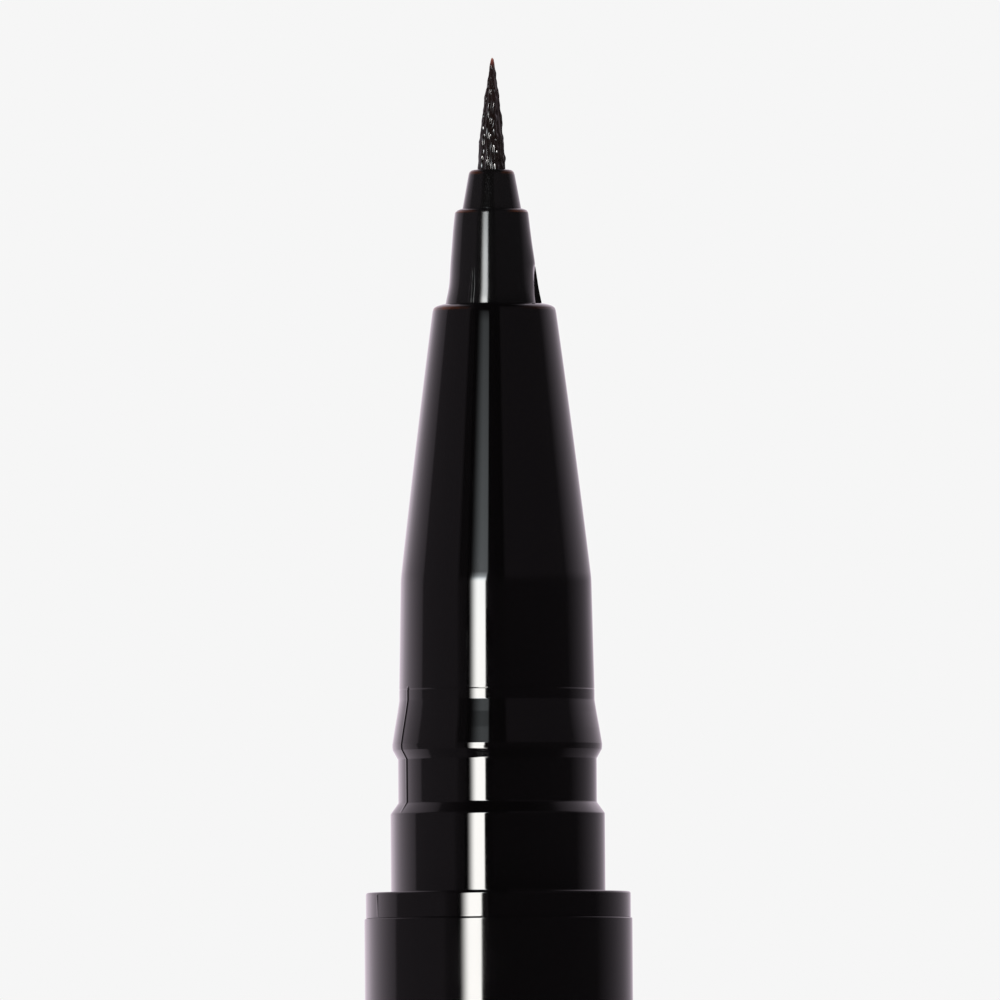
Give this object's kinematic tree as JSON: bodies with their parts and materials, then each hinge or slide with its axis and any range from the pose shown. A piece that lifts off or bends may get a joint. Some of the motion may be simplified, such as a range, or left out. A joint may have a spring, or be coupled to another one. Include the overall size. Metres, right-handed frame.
{
  "type": "liquid eyeliner pen",
  "caption": "Slim upright liquid eyeliner pen with a pointed brush tip, a stepped snap-fit neck, a round barrel and its cap pushed onto the tail.",
  "frame": {"origin": "centre of the cap's crown, on the surface that the pen stands on", "axes": "+Z along the pen's axis towards the brush tip; +X and +Y across it, one centring fin near +X"},
  "size_m": [0.0104, 0.0104, 0.1607],
  "materials": {
    "gloss_black": "high gloss moulded black",
    "satin_black": "satin moulded black",
    "wet_fibre": "fine nylon fibres wet with black ink",
    "fibre_rod": "bonded fibre rod",
    "natural_resin": "uncoloured moulded resin",
    "clear_resin": "translucent moulded tube",
    "seal_rubber": "soft black rubber",
    "steel": "polished steel"
  },
  "bodies": {
    "cap": {"cap_shell": "gloss_black", "cap_liner": "satin_black", "inner_cap_spring": "steel"},
    "pen": {"barrel": "gloss_black", "front_section": "gloss_black", "nozzle": "satin_black", "brush_ferrule": "satin_black", "bristle_bundle": "wet_fibre", "relay_core": "fibre_rod", "collector": "natural_resin", "collector_seal": "seal_rubber", "ink_tank": "clear_resin", "tank_stopper": "natural_resin", "tail_plug": "gloss_black"},
    "inner_cap": {"inner_cap": "natural_resin"},
    "mixing_ball": {"mixing_ball": "steel"}
  },
  "joints": [
    {"name": "cap_pull", "type": "slide", "parent": "cap", "child": "pen", "axis": [0, 0, 1], "range_m": [0, 0.012]},
    {"name": "inner_cap_press", "type": "slide", "parent": "cap", "child": "inner_cap", "axis": [0, 0, -1], "range_m": [0, 0.002], "stiffness_N_per_m": 400, "springref_m": -0.001, "deforming": ["inner_cap_spring"]},
    {"name": "ball_roll", "type": "slide", "parent": "pen", "child": "mixing_ball", "axis": [0, 0, 1], "range_m": [0, 0.0364]}
  ]
}
